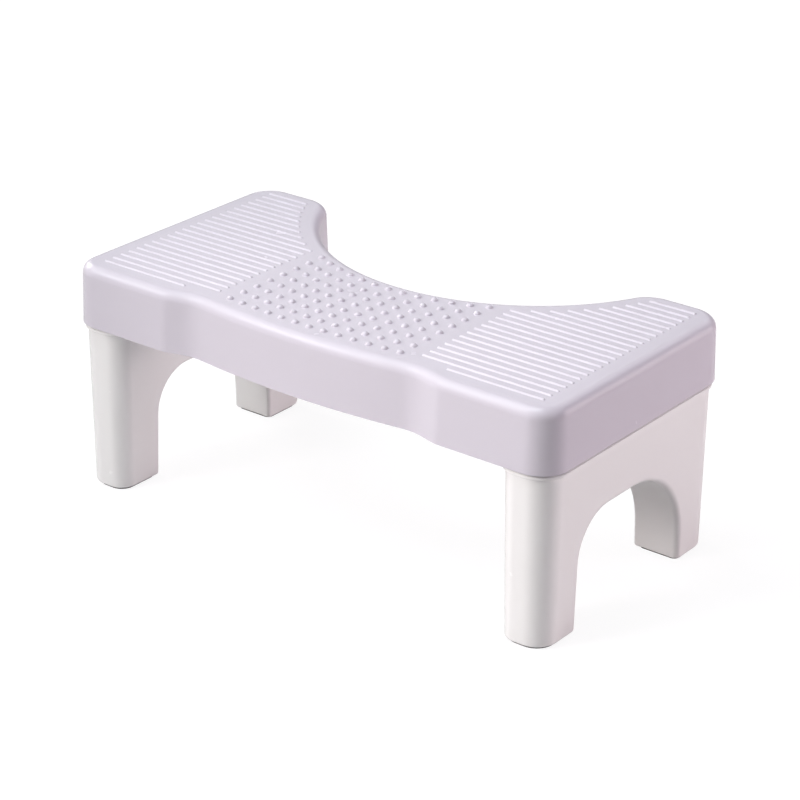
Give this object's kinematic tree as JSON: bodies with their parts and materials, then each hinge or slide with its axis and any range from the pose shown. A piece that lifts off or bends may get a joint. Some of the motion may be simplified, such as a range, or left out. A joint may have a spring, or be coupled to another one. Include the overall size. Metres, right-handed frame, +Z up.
{
  "type": "toilet footstool",
  "caption": "Footstool for a toilet: a ribbed and nubbed deck with a round cut-out for the pedestal, pushed onto arched leg frames with rubber foot pads.",
  "frame": {"origin": "on the floor, below the centre of the overall box", "axes": "+X towards the right end seen from the front, +Z up, -Y towards the front edge, +Y towards the cut-out that goes round the toilet"},
  "size_m": [0.409, 0.212, 0.172],
  "materials": {
    "deck_plastic": "satin pale lilac grey moulding",
    "frame_plastic": "satin white moulding",
    "pad_rubber": "matt dark grey"
  },
  "bodies": {
    "leg_frames": {"left_leg_frame": "frame_plastic", "right_leg_frame": "frame_plastic", "left_front_foot_pad": "pad_rubber", "left_rear_foot_pad": "pad_rubber", "right_front_foot_pad": "pad_rubber", "right_rear_foot_pad": "pad_rubber"},
    "deck": {"deck": "deck_plastic"}
  },
  "joints": [
    {"name": "deck_lift", "type": "slide", "parent": "leg_frames", "child": "deck", "axis": [0, 0, 1], "range_m": [0, 0.035]}
  ]
}
